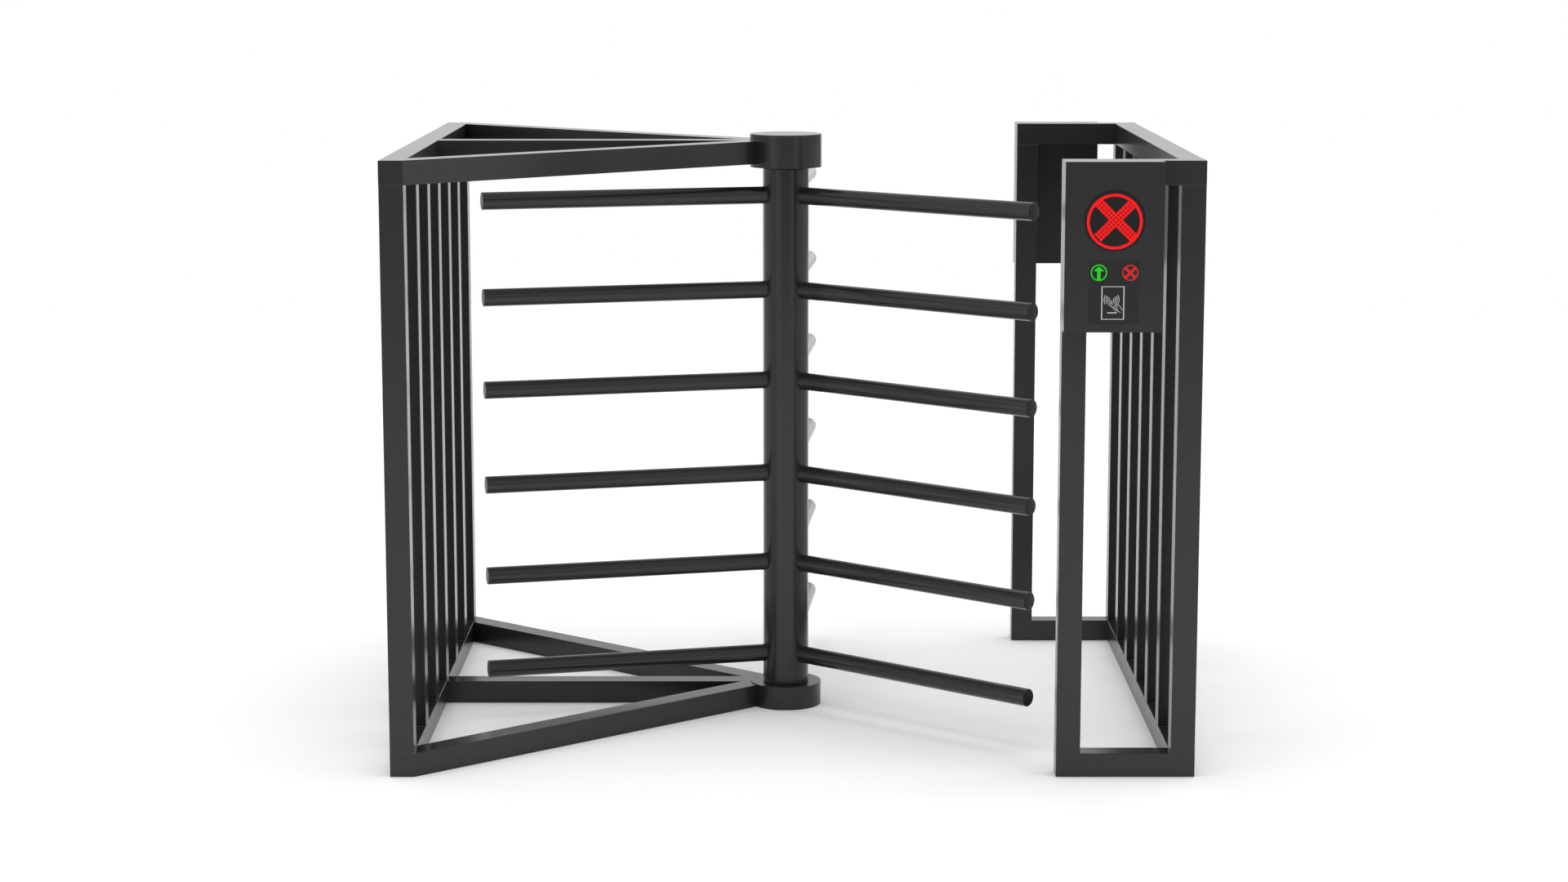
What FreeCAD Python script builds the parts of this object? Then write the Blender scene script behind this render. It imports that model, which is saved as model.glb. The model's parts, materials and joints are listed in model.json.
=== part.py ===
import FreeCAD, Part
import os
import re
import Sketcher
from FreeCAD import Placement, Rotation, Vector

# Waist-to-head-high rotary turnstile with a visitor counter: a barred side frame carries, on three
# upper and three lower bracket tubes, the bearings of a column with three wings of six round arms.
# A second barred side frame with two portals stands across the lane and carries a signal box with
# a card reader at each end. Millimetres; X runs across the lane, Y along it, Z up. The origin is
# on the floor in the middle of the frame's outline.

DIMENSIONS = {
    "frame_width": (1670, "outside, across the lane"),
    "frame_depth": (1334, "outside, along the lane"),
    "frame_height": (1278, "floor to the top of the rails"),
    "tube_side": (50, "square tube of all the frames"),
    "tube_wall": (3, "its wall"),
    "tube_edge": (1.5, "its outer corner radius"),
    "bar_pitch": (208, "between the infill bars of a side frame"),
    "bar_count": (5, "infill bars in a side frame"),
    "portal_width": (288, "outside width of the portals at the signal boxes"),
    "bracket_angle": (40.6, "slant of the outer bracket tubes from X, in degrees"),
    "hub_x": (-13, "rotor axis"),
    "hub_y": (-18, "rotor axis"),
    "hub_radius": (79.5, "head and base drums"),
    "head_bottom": (1220, "underside of the head drum"),
    "head_top": (1293, "top of the head lid"),
    "drum_wall": (4, "wall of the head drum"),
    "drum_floor": (6, "floor of either drum"),
    "lid_plate": (4, "thickness of the head lid"),
    "spigot_height": (6, "ring under the lid that centres it"),
    "spigot_wall": (4.5, "its wall"),
    "spigot_gap": (0.2, "between that ring and the drum"),
    "base_height": (52, "top of the base drum"),
    "base_wall": (6, "wall of the base drum below its cover"),
    "cover_plate": (6, "thickness of the base cover"),
    "cover_ledge": (3, "ledge that the base cover rests on"),
    "column_radius": (51, "rotor column"),
    "column_wall": (4, "its wall"),
    "column_bottom": (54.5, "lower end of the column"),
    "column_top": (1217.5, "upper end of the column"),
    "column_chamfer": (1.2, "bevel on both ends of the column"),
    "flange_plate": (12, "plates welded into the column's ends"),
    "collar_radius": (49.5, "seal collar on the base cover"),
    "collar_height": (1.5, "its height"),
    "collar_bore": (30, "its inner radius"),
    "spindle_radius": (15, "stub shafts of the rotor"),
    "shoulder_radius": (20, "shoulder that carries a bearing's inner ring"),
    "spindle_top": (1277, "upper end of the upper shaft"),
    "spindle_bottom": (12, "lower end of the lower shaft"),
    "bearing_radius": (31, "outer radius of both ball bearings"),
    "bearing_height": (16, "their height"),
    "bearing_pitch": (23, "radius of the ring of balls"),
    "bearing_gap": (2.5, "from the ball centres' radius to either ring's plain wall"),
    "ball_radius": (4.5, "bearing balls"),
    "ball_play": (0.05, "running clearance around a ball"),
    "ball_count": (9, "balls in a bearing"),
    "upper_bearing_z": (1227, "underside of the upper bearing"),
    "lower_bearing_z": (14, "underside of the lower bearing"),
    "boss_wall": (6, "metal around a bearing seat"),
    "shaft_hole": (25, "clearance hole for a shaft shoulder"),
    "wheel_radius": (64, "lock wheel"),
    "wheel_z": (1252, "underside of the lock wheel"),
    "wheel_plate": (8, "its thickness"),
    "pin_circle": (55, "radius of the lock holes' centres"),
    "pin_radius": (5, "lock pin"),
    "pin_hole": (5.5, "lock holes in the wheel"),
    "pin_hole_count": (12, "lock holes in the wheel"),
    "pin_length": (22, "lock pin with its plunger"),
    "pin_z": (1228.5, "lower end of the lock pin when it is drawn back"),
    "pin_play": (0.05, "running clearance around the lock pin"),
    "solenoid_angle": (150, "place of the solenoid around the rotor axis, in degrees"),
    "solenoid_radius": (13, "solenoid can"),
    "solenoid_height": (21.5, "its height above the drum's floor"),
    "solenoid_floor": (1.5, "its closed lower end"),
    "encoder_radius": (34, "counting disc with a ring of holes"),
    "encoder_plate": (1.5, "its thickness"),
    "encoder_z": (1268, "its underside"),
    "count_hole": (1.4, "radius of a hole in the counting disc"),
    "count_circle": (29.5, "radius of the ring of those holes"),
    "count_holes": (24, "holes in the counting disc"),
    "sensor_angle": (20, "place of the fork sensor around the rotor axis, in degrees"),
    "sensor_inner": (28, "inner end of the fork sensor's jaws"),
    "sensor_outer": (46, "outer end of the fork sensor"),
    "sensor_back": (8, "thickness of the sensor's back"),
    "sensor_width": (14, "its width"),
    "sensor_z": (1262.5, "its underside"),
    "sensor_gap": (4.5, "height of its fork"),
    "board_z": (1279.5, "underside of the controller board"),
    "board_plate": (1.6, "thickness of every circuit board"),
    "board_radius": (72.5, "controller board"),
    "board_hole": (20, "hole in the middle of the controller board"),
    "standoff_circle": (69.5, "radius of the board's standoffs"),
    "standoff_radius": (3.5, "a standoff"),
    "arm_radius": (19.2, "round tube of the wings"),
    "arm_wall": (2.5, "its wall"),
    "arm_reach": (683, "rotor axis to a wing's tip"),
    "arm_first": (119, "height of the lowest arms"),
    "arm_step_wide": (210.5, "first, third and fifth step between arms"),
    "arm_step_narrow": (203.5, "second and fourth step between arms"),
    "cap_plate": (3, "outside part of an arm's end cap"),
    "cap_plug": (12, "inside part of an arm's end cap"),
    "cap_chamfer": (0.8, "bevel of an arm's end cap"),
    "wing_left": (195.1, "direction of a wing, in degrees from X"),
    "wing_right": (319.2, "direction of a wing, in degrees from X"),
    "wing_rear": (85.3, "direction of a wing, in degrees from X"),
    "box_width": (200, "signal box"),
    "box_height": (344, "signal box"),
    "box_depth": (36, "signal box"),
    "box_wall": (2, "its sheet metal"),
    "lamp_radius": (63, "round lamp window"),
    "lamp_drop": (117.3, "box's top to the lamp's centre"),
    "window_plate": (3, "thickness of both windows"),
    "window_recess": (0.3, "step from the box's face to a window"),
    "reader_width": (103, "card reader window"),
    "reader_height": (131, "card reader window"),
    "reader_drop": (196.8, "box's top to the reader window"),
    "board_margin": (3, "from a window's edge to its board's edge"),
    "board_gap": (8, "from a window to the board behind it"),
    "spacer_radius": (3, "pillars between the boards and a box's back plate"),
    "lower_screw": (34, "box's bottom to its lower fixing screw"),
    "screw_radius": (3, "M6 cap screws"),
    "screw_head": (5, "radius of their heads"),
    "screw_head_height": (6, "height of their heads"),
    "screw_play": (0.3, "clearance around a screw that isn't in its thread"),
    "box_screw": (14, "shank of a box's fixing screw"),
    "head_recess": (0.8, "from the base's underside to its screw heads"),
    "cover_thread": (4.5, "depth of the threads in the base cover"),
    "pillar_radius": (7, "screw pillars in the base drum"),
    "pillar_circle": (62, "radius of the ring of those pillars"),
    "pillar_count": (3, "screw pillars"),
    "set_screw": (2.5, "radius of the lid's set screws"),
    "set_screw_recess": (0.3, "from the drum's outside to a set screw"),
    "lid_chamfer": (0.8, "bevel on the lid's rim"),
    "board_screw": (1.5, "radius of the controller board's screws"),
    "fixings_angle": (30, "first of three set screws around the rotor axis, in degrees"),
}

doc = FreeCAD.newDocument("visitor_counter_turnstile")
sheet = doc.addObject("Spreadsheet::Sheet", "dims")
for row, (alias, (number, note)) in enumerate(DIMENSIONS.items(), 1):
    sheet.set(f"A{row}", alias)
    sheet.set(f"B{row}", str(number))
    sheet.set(f"C{row}", note)
    sheet.setAlias(f"B{row}", alias)
doc.recompute()

sub_parts = []


# ---- sheet, placement and labels -------------------------------------------------------------


def value(expression):
    """The number that an expression on the sheet's aliases gives."""
    return float(sheet.evalExpression(str(expression)))


def bind(obj, prop, expression):
    """Ties a property to the sheet, with the sheet's name written before each alias."""
    words = re.compile(r"\b[a-z][a-z_]+\b")
    linked = words.sub(lambda word: f"dims.{word[0]}" if word[0] in DIMENSIONS else word[0], str(expression))
    obj.setExpression(prop, linked)


def place(obj, x=0, y=0, z=0, turn=Rotation()):
    """Puts an object at a place bound to the sheet, after a turn."""
    obj.Placement = Placement(Vector(value(x), value(y), value(z)), turn)
    for axis, expression in zip("xyz", (x, y, z)):
        if isinstance(expression, str):
            bind(obj, f".Placement.Base.{axis}", expression)
    return obj


def keep(obj, label):
    """Makes an object a sub-part of its own, exported under its label."""
    obj.Label = label
    sub_parts.append(obj)
    return obj


def about_z(degrees):
    return Rotation(Vector(0, 0, 1), value(degrees))


ALONG_X = Rotation(Vector(0, 1, 0), 90)
ALONG_Y = Rotation(Vector(1, 0, 0), -90)


# ---- PartDesign helpers ----------------------------------------------------------------------


def new_body(name):
    return doc.addObject("PartDesign::Body", name)


def origin_feature(body, role):
    return next(item for item in body.Origin.OriginFeatures if item.Role == role)


def new_sketch(body, role="XY_Plane"):
    sketch = body.newObject("Sketcher::SketchObject", f"{body.Name}_sketch")
    sketch.AttachmentSupport = [(origin_feature(body, role), "")]
    sketch.MapMode = "FlatFace"
    return sketch


def dimension(sketch, kind, *references, to):
    """Adds a driving dimension bound to the sheet."""
    index = sketch.addConstraint(Sketcher.Constraint(kind, *references, value(to)))
    name = f"size{index}"
    sketch.renameConstraint(index, name)
    bind(sketch, f"Constraints.{name}", to)


def pin_point(sketch, line, x, y):
    """Fixes the start of a line at x, y from the sketch's origin."""
    for kind, axis, to in (("DistanceX", -2, x), ("DistanceY", -1, y)):
        if abs(value(to)) < 1e-9:
            sketch.addConstraint(Sketcher.Constraint("PointOnObject", line, 1, axis))
        else:
            dimension(sketch, kind, -1, 1, line, 1, to=to)


def add_outline(sketch, corners):
    """Closed outline of straight lines through corners given as expressions."""
    points = [Vector(value(x), value(y), 0) for x, y in corners]
    first = sketch.GeometryCount
    lines = [Part.LineSegment(a, b) for a, b in zip(points, points[1:] + points[:1])]
    sketch.addGeometry(lines, False)
    for i, (x, y) in enumerate(corners):
        after = first + (i + 1) % len(corners)
        sketch.addConstraint(Sketcher.Constraint("Coincident", first + i, 2, after, 1))
        pin_point(sketch, first + i, x, y)


def add_centred_rectangle(sketch, width, height):
    half = Vector(value(width) / 2, value(height) / 2, 0)
    corners = [Vector(sx * half.x, sy * half.y, 0) for sx, sy in ((-1, -1), (1, -1), (1, 1), (-1, 1))]
    first = sketch.GeometryCount
    sketch.addGeometry([Part.LineSegment(corners[i], corners[(i + 1) % 4]) for i in range(4)], False)
    for i in range(4):
        sketch.addConstraint(Sketcher.Constraint("Coincident", first + i, 2, first + (i + 1) % 4, 1))
        sketch.addConstraint(Sketcher.Constraint("Vertical" if i % 2 else "Horizontal", first + i))
    sketch.addConstraint(Sketcher.Constraint("Symmetric", first, 1, first + 2, 1, -1, 1))
    dimension(sketch, "DistanceX", first, 1, first, 2, to=width)
    dimension(sketch, "DistanceY", first + 1, 1, first + 1, 2, to=height)


def add_circle(sketch, x, y, radius):
    circle = Part.Circle(Vector(value(x), value(y), 0), Vector(0, 0, 1), value(radius))
    index = sketch.addGeometry(circle, False)
    dimension(sketch, "Radius", index, to=radius)
    for kind, axis, to in (("DistanceX", -2, x), ("DistanceY", -1, y)):
        if abs(value(to)) < 1e-9:
            sketch.addConstraint(Sketcher.Constraint("PointOnObject", index, 3, axis))
        else:
            dimension(sketch, kind, -1, 1, index, 3, to=to)


def feature(body, kind, sketch, length=None, **settings):
    """Adds a sketch-based feature, checks that it changed the solid and returns it."""
    before = body.Shape.Volume if body.Tip else 0
    made = body.newObject(f"PartDesign::{kind}", f"{body.Name}_{kind.lower()}")
    made.Profile = sketch
    if length is not None:
        bind(made, "Length", length)
    for name, setting in settings.items():
        setattr(made, name, setting)
    sketch.Visibility = False
    doc.recompute()
    if abs(body.Shape.Volume - before) < 1e-6:
        raise RuntimeError(f"{made.Name} changes nothing")
    return made


def revolve(name, corners):
    """Body turned about Z from an outline of radius and height."""
    body = new_body(name)
    sketch = new_sketch(body, "XZ_Plane")
    add_outline(sketch, corners)
    feature(body, "Revolution", sketch, ReferenceAxis=(sketch, ["V_Axis"]), Angle=360)
    return body


def ring_pattern(body, original, count):
    """Repeats a feature around the body's Z axis."""
    pattern = body.newObject("PartDesign::PolarPattern", f"{body.Name}_pattern")
    pattern.Originals = [original]
    pattern.Axis = (origin_feature(body, "Z_Axis"), [""])
    pattern.Angle = 360
    bind(pattern, "Occurrences", count)
    body.Tip = pattern
    doc.recompute()
    return pattern


def square_tube(name, length, screw_holes=()):
    """Hollow square tube along its own Z; a screw hole is (distance along, sideways -1 or +1)."""
    body = new_body(name)
    sketch = new_sketch(body)
    add_centred_rectangle(sketch, "tube_side", "tube_side")
    add_centred_rectangle(sketch, "tube_side - 2 * tube_wall", "tube_side - 2 * tube_wall")
    pad = feature(body, "Pad", sketch, length)
    reach = value("tube_side") / 2
    outer_edges = [
        f"Edge{i}"
        for i, edge in enumerate(pad.Shape.Edges, 1)
        if abs(edge.tangentAt(edge.FirstParameter).z) > 0.99 and abs(abs(edge.CenterOfMass.x) - reach) < 1e-6
    ]
    fillet = body.newObject("PartDesign::Fillet", f"{name}_fillet")
    fillet.Base = (pad, outer_edges)
    bind(fillet, "Radius", "tube_edge")
    doc.recompute()
    for along, side in screw_holes:
        hole_sketch = new_sketch(body, "XZ_Plane")
        add_circle(hole_sketch, 0, along, "screw_radius")
        feature(body, "Pocket", hole_sketch, "tube_side", Reversed=side < 0)
    return body


# ---- Part helpers ----------------------------------------------------------------------------


def box(name, length, width, height, x=0, y=0, z=0, turn=Rotation()):
    """Part::Box with its corner at x, y, z."""
    obj = doc.addObject("Part::Box", name)
    for prop, expression in (("Length", length), ("Width", width), ("Height", height)):
        bind(obj, prop, expression)
    return place(obj, x, y, z, turn)


def cylinder(name, radius, height, x=0, y=0, z=0, turn=Rotation()):
    """Part::Cylinder with the middle of its foot at x, y, z."""
    obj = doc.addObject("Part::Cylinder", name)
    bind(obj, "Radius", radius)
    bind(obj, "Height", height)
    return place(obj, x, y, z, turn)


def boolean(kind, name, base, tool):
    obj = doc.addObject(f"Part::{kind}", name)
    obj.Base, obj.Tool = base, tool
    return obj


def group(label, members):
    """One sub-part of several separate solids."""
    compound = doc.addObject("Part::Compound", label)
    compound.Links = members
    return keep(compound, label)


# ---- frame -----------------------------------------------------------------------------------

LEFT_X = "-frame_width / 2 + tube_side / 2"
RIGHT_X = "frame_width / 2 - tube_side / 2"
PORTAL_EDGE = "frame_width / 2 - portal_width"
INNER_X = f"{PORTAL_EDGE} + tube_side / 2"
FRONT_Y = "-frame_depth / 2 + tube_side / 2"
REAR_Y = "frame_depth / 2 - tube_side / 2"
LOW_Z = "tube_side / 2"
HIGH_Z = "frame_height - tube_side / 2"
BOX_Z = "frame_height - box_height"
UPRIGHT = "frame_height - 2 * tube_side"
LEVELS = {"bottom": LOW_Z, "top": HIGH_Z}
ENDS = {"front": (FRONT_Y, -1), "rear": (REAR_Y, 1)}


def upright(name, x, y, screw_holes=()):
    """Vertical tube between the bottom and top rails."""
    return place(square_tube(name, UPRIGHT, screw_holes), x, y, "tube_side")


def infill_bars(label, x):
    """Evenly spaced bars of a side frame."""
    count = int(value("bar_count"))
    bars = [upright(f"{label}_{i + 1}", x, f"{i - (count - 1) / 2} * bar_pitch") for i in range(count)]
    return group(label, bars)


def side_frames():
    """Barred frames on both sides: two long rails each, and the bars between them."""
    for level, z in LEVELS.items():
        name = f"left_{level}_rail"
        keep(place(square_tube(name, "frame_depth"), LEFT_X, "-frame_depth / 2", z, ALONG_Y), name)
        name = f"right_{level}_rail"
        between = square_tube(name, "frame_depth - 2 * tube_side")
        keep(place(between, RIGHT_X, "-frame_depth / 2 + tube_side", z, ALONG_Y), name)
    infill_bars("left_bars", LEFT_X)
    infill_bars("right_bars", RIGHT_X)


def corner_posts_and_portals():
    """Posts of the left frame, and the two portals that end the right frame."""
    for end, (y, side) in ENDS.items():
        keep(upright(f"left_{end}_post", LEFT_X, y), f"left_{end}_post")
        keep(upright(f"{end}_outer_post", RIGHT_X, y), f"{end}_outer_post")
        inner_holes = [(f"{BOX_Z} + lower_screw - tube_side", side)]
        keep(upright(f"{end}_inner_post", INNER_X, y, inner_holes), f"{end}_inner_post")
        rail_holes = [("tube_side / 2", side), ("box_width - tube_side / 2", side)]
        for level, z in LEVELS.items():
            name = f"{end}_{level}_rail"
            rail = square_tube(name, "portal_width", rail_holes if level == "top" else ())
            keep(place(rail, PORTAL_EDGE, y, z, ALONG_X), name)


def rail_end_plates():
    """Plates that close the open ends of the long left rails and of the portals' rails."""
    bore = "tube_side - 2 * tube_wall"
    plates = []
    for level, z in LEVELS.items():
        foot = f"{z} - tube_side / 2 + tube_wall"
        for y in ("-frame_depth / 2", "frame_depth / 2 - tube_wall"):
            name = f"end_plate_{len(plates) + 1}"
            plates.append(box(name, bore, "tube_wall", bore, "-frame_width / 2 + tube_wall", y, foot))
        for end_y, _ in ENDS.values():
            y = f"{end_y} - tube_side / 2 + tube_wall"
            for x in (PORTAL_EDGE, "frame_width / 2 - tube_wall"):
                plates.append(box(f"end_plate_{len(plates) + 1}", "tube_wall", bore, bore, x, y, foot))
    group("rail_end_plates", plates)


# ---- brackets --------------------------------------------------------------------------------

BRACKET_LEVELS = {"lower": "0", "upper": "frame_height - tube_side"}
RAIL_FACE = "-frame_width / 2 + tube_side"


def trimmed_to_drum(label, tube, z, near_y, far_y):
    """Cuts a bracket tube to the rail's face, a strip of Y and the drum's outside."""
    name = f"{label}_trim"
    length, width = f"hub_x - ({RAIL_FACE})", f"({far_y}) - ({near_y})"
    strip = box(f"{name}_strip", length, width, "tube_side", RAIL_FACE, near_y, z)
    drum = cylinder(f"{name}_drum", "hub_radius", "tube_side", "hub_x", "hub_y", z)
    region = boolean("Cut", name, strip, drum)
    return keep(boolean("Common", label, tube, region), label)


def hollow_bar(label, length, x, y, z, turn, width_axis):
    """Square tube lying flat, with its lower corner at x, y, z; width_axis points across it."""
    outer = box(f"{label}_outer", length, "tube_side", "tube_side", x, y, z, turn)
    bore_side = "tube_side - 2 * tube_wall"
    bore_x = f"{x} + tube_wall * ({width_axis[0]})"
    bore_y = f"{y} + tube_wall * ({width_axis[1]})"
    bore = box(f"{label}_bore", length, bore_side, bore_side, bore_x, bore_y, f"{z} + tube_wall", turn)
    return boolean("Cut", f"{label}_tube", outer, bore)


def brackets():
    """Three tubes above and three below, from the left frame to the head and base drums."""
    slant = about_z("bracket_angle")
    slant_back = about_z("-bracket_angle")
    for level, z in BRACKET_LEVELS.items():
        label = f"{level}_middle_bracket"
        tube = hollow_bar(label, "frame_width / 2", RAIL_FACE, "-tube_side / 2", z, Rotation(), ("0", "1"))
        trimmed_to_drum(label, tube, z, "-tube_side / 2", "tube_side / 2")

        label = f"{level}_front_bracket"
        across = ("-sin(bracket_angle)", "cos(bracket_angle)")
        tube = hollow_bar(label, "frame_width", RAIL_FACE, "-frame_depth / 2", z, slant, across)
        trimmed_to_drum(label, tube, z, "-frame_depth / 2", "-tube_side / 2")

        label = f"{level}_rear_bracket"
        across = ("sin(bracket_angle)", "cos(bracket_angle)")
        corner_x = f"{RAIL_FACE} - tube_side * sin(bracket_angle)"
        corner_y = "frame_depth / 2 - tube_side * cos(bracket_angle)"
        tube = hollow_bar(label, "frame_width", corner_x, corner_y, z, slant_back, across)
        trimmed_to_drum(label, tube, z, "tube_side / 2", "frame_depth / 2")


# ---- head drum -------------------------------------------------------------------------------

HUB = ("hub_x", "hub_y")
DRUM_BORE = "hub_radius - drum_wall"
LID_FOOT = "head_top - lid_plate - spigot_height"
BEARING_TOP = "upper_bearing_z + bearing_height"
FLOOR_TOP = "head_bottom + drum_floor"


def around_hub(radius, degrees, z):
    """Place on a circle around the rotor axis."""
    return (f"hub_x + ({radius}) * cos({degrees})", f"hub_y + ({radius}) * sin({degrees})", z)


def three_radial_holes(body, height):
    """Set-screw holes through a wall, at the start angle and 60 and 120 degrees on."""
    sketch = new_sketch(body, "YZ_Plane")
    add_circle(sketch, 0, height, "set_screw")
    hole = feature(body, "Pocket", sketch, "hub_radius + lid_plate", Reversed=True)
    pattern = ring_pattern(body, hole, 3)
    pattern.Angle = 120
    return body


def head_drum():
    """Drum that the upper brackets carry, its lid and the set screws at the back."""
    turn = about_z("fixings_angle")
    top = "head_top - lid_plate - head_bottom"
    seat = "upper_bearing_z - head_bottom"
    boss = "bearing_radius + boss_wall"
    housing = revolve(
        "head_housing",
        [
            ("shaft_hole", "0"),
            ("hub_radius", "0"),
            ("hub_radius", top),
            (DRUM_BORE, top),
            (DRUM_BORE, "drum_floor"),
            (boss, "drum_floor"),
            (boss, f"{seat} + bearing_height"),
            ("bearing_radius", f"{seat} + bearing_height"),
            ("bearing_radius", seat),
            ("shaft_hole", seat),
        ],
    )
    three_radial_holes(housing, f"{top} - spigot_height / 2")
    keep(place(housing, *HUB, "head_bottom", turn), "head_housing")

    ring_outside = f"{DRUM_BORE} - spigot_gap"
    ring_inside = f"{ring_outside} - spigot_wall"
    lid_top = "spigot_height + lid_plate"
    lid = revolve(
        "head_lid",
        [
            ("0", "spigot_height"),
            (ring_inside, "spigot_height"),
            (ring_inside, "0"),
            (ring_outside, "0"),
            (ring_outside, "spigot_height"),
            ("hub_radius", "spigot_height"),
            ("hub_radius", f"{lid_top} - lid_chamfer"),
            ("hub_radius - lid_chamfer", lid_top),
            ("0", lid_top),
        ],
    )
    three_radial_holes(lid, "spigot_height / 2")
    keep(place(lid, *HUB, LID_FOOT, turn), "head_lid")

    screws = []
    for i in range(3):
        angle = f"(fixings_angle + {60 * i})"
        length = f"hub_radius - set_screw_recess - ({ring_inside})"
        foot = around_hub(ring_inside, angle, f"{LID_FOOT} + spigot_height / 2")
        screws.append(cylinder(f"lid_screw_{i + 1}", "set_screw", length, *foot, about_z(angle) * ALONG_X))
    group("head_lid_screws", screws)


def lock_solenoid():
    """Closed can with the bore that the lock pin slides in."""
    can = revolve(
        "solenoid_can",
        [
            ("0", "0"),
            ("solenoid_radius", "0"),
            ("solenoid_radius", "solenoid_height"),
            ("pin_radius + pin_play", "solenoid_height"),
            ("pin_radius + pin_play", "solenoid_floor"),
            ("0", "solenoid_floor"),
        ],
    )
    keep(place(can, *around_hub("pin_circle", "solenoid_angle", FLOOR_TOP)), "solenoid_can")
    pin = cylinder("lock_pin_blank", "pin_radius", "pin_length")
    bevel = doc.addObject("Part::Chamfer", "lock_pin")
    bevel.Base = pin
    doc.recompute()
    top_edge = max(range(len(pin.Shape.Edges)), key=lambda i: pin.Shape.Edges[i].CenterOfMass.z) + 1
    edge_size = value("lid_chamfer")
    bevel.Edges = [(top_edge, edge_size, edge_size)]
    keep(place(bevel, *around_hub("pin_circle", "solenoid_angle", "pin_z")), "lock_pin")


def fork_sensor():
    """Optical fork that the counting disc's rim runs through."""
    height = "board_z - sensor_z"
    length = "sensor_outer - sensor_inner"
    blank = box("sensor_blank", length, "sensor_width", height, "sensor_inner", "-sensor_width / 2")
    gap_foot = "encoder_z - sensor_z - (sensor_gap - encoder_plate) / 2"
    gap_size = (f"{length} - sensor_back", "sensor_width", "sensor_gap")
    gap = box("sensor_fork", *gap_size, "sensor_inner", "-sensor_width / 2", gap_foot)
    sensor = boolean("Cut", "fork_sensor", blank, gap)
    keep(place(sensor, *HUB, "sensor_z", about_z("sensor_angle")), "fork_sensor")


def controller():
    """Ring-shaped controller board on three hollow standoffs, with its screws."""
    board = revolve(
        "controller_board",
        [
            ("board_hole", "0"),
            ("board_radius", "0"),
            ("board_radius", "board_plate"),
            ("board_hole", "board_plate"),
        ],
    )
    sketch = new_sketch(board)
    add_circle(sketch, "standoff_circle", 0, "board_screw")
    ring_pattern(board, feature(board, "Pocket", sketch, "board_plate", Reversed=True), 3)
    keep(place(board, *HUB, "board_z"), "controller_board")

    height = f"board_z - ({FLOOR_TOP})"
    tubes, screws = [], []
    for i in range(3):
        tube = revolve(
            f"standoff_{i + 1}",
            [
                ("board_screw", "0"),
                ("standoff_radius", "0"),
                ("standoff_radius", height),
                ("board_screw", height),
            ],
        )
        tubes.append(place(tube, *around_hub("standoff_circle", 120 * i, FLOOR_TOP)))
        screw = revolve(
            f"board_screw_{i + 1}",
            [
                ("0", "0"),
                ("board_screw", "0"),
                ("board_screw", "3 * board_screw + board_plate"),
                ("2 * board_screw", "3 * board_screw + board_plate"),
                ("2 * board_screw", "4 * board_screw + board_plate"),
                ("0", "4 * board_screw + board_plate"),
            ],
        )
        screws.append(place(screw, *around_hub("standoff_circle", 120 * i, "board_z - 3 * board_screw")))
    group("board_standoffs", tubes)
    group("board_screws", screws)


# ---- base drum -------------------------------------------------------------------------------


def base_drum():
    """Drum on the floor that the lower brackets meet, its cover, seal collar and hidden screws."""
    ledge = "base_height - cover_plate"
    boss = "bearing_radius + boss_wall"
    seat_top = "lower_bearing_z + bearing_height"
    housing = revolve(
        "base_housing",
        [
            ("0", "0"),
            ("hub_radius", "0"),
            ("hub_radius", "base_height"),
            ("hub_radius - cover_ledge", "base_height"),
            ("hub_radius - cover_ledge", ledge),
            ("hub_radius - base_wall", ledge),
            ("hub_radius - base_wall", "drum_floor"),
            (boss, "drum_floor"),
            (boss, seat_top),
            ("bearing_radius", seat_top),
            ("bearing_radius", "lower_bearing_z"),
            ("shoulder_radius", "lower_bearing_z"),
            ("shoulder_radius", "drum_floor"),
            ("0", "drum_floor"),
        ],
    )
    steps = []
    for kind, radius, length in (
        ("Pad", "pillar_radius", ledge),
        ("Pocket", "screw_radius + screw_play", ledge),
        ("Pocket", "screw_head + screw_play", "head_recess + screw_head_height"),
    ):
        sketch = new_sketch(housing)
        add_circle(sketch, "pillar_circle", 0, radius)
        steps.append(feature(housing, kind, sketch, length, Reversed=kind == "Pocket"))
    pattern = ring_pattern(housing, steps[0], "pillar_count")
    pattern.Originals = steps
    keep(place(housing, *HUB), "base_housing")

    cover = revolve(
        "base_cover",
        [
            ("shaft_hole", "0"),
            ("hub_radius - cover_ledge", "0"),
            ("hub_radius - cover_ledge", "cover_plate"),
            ("shaft_hole", "cover_plate"),
        ],
    )
    sketch = new_sketch(cover)
    add_circle(sketch, "pillar_circle", 0, "screw_radius")
    ring_pattern(cover, feature(cover, "Pocket", sketch, "cover_thread", Reversed=True), "pillar_count")
    keep(place(cover, *HUB, ledge), "base_cover")

    screws = []
    shank = f"{ledge} + cover_thread - head_recess - screw_head_height"
    for i in range(int(value("pillar_count"))):
        foot = around_hub("pillar_circle", f"({i} * 360 / pillar_count)", "head_recess")
        screws.append(place(cap_screw(f"cover_screw_{i + 1}", shank), *foot))
    group("base_cover_screws", screws)

    collar = revolve(
        "seal_collar",
        [
            ("collar_bore", "0"),
            ("collar_radius", "0"),
            ("collar_radius", "collar_height"),
            ("collar_bore", "collar_height"),
        ],
    )
    keep(place(collar, *HUB, "base_height"), "seal_collar")


def cap_screw(name, shank):
    """Cap screw with its head at the foot and its shank pointing up Z."""
    return revolve(
        name,
        [
            ("0", "0"),
            ("screw_head", "0"),
            ("screw_head", "screw_head_height"),
            ("screw_radius", "screw_head_height"),
            ("screw_radius", f"screw_head_height + {shank}"),
            ("0", f"screw_head_height + {shank}"),
        ],
    )


# ---- bearings --------------------------------------------------------------------------------


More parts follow.
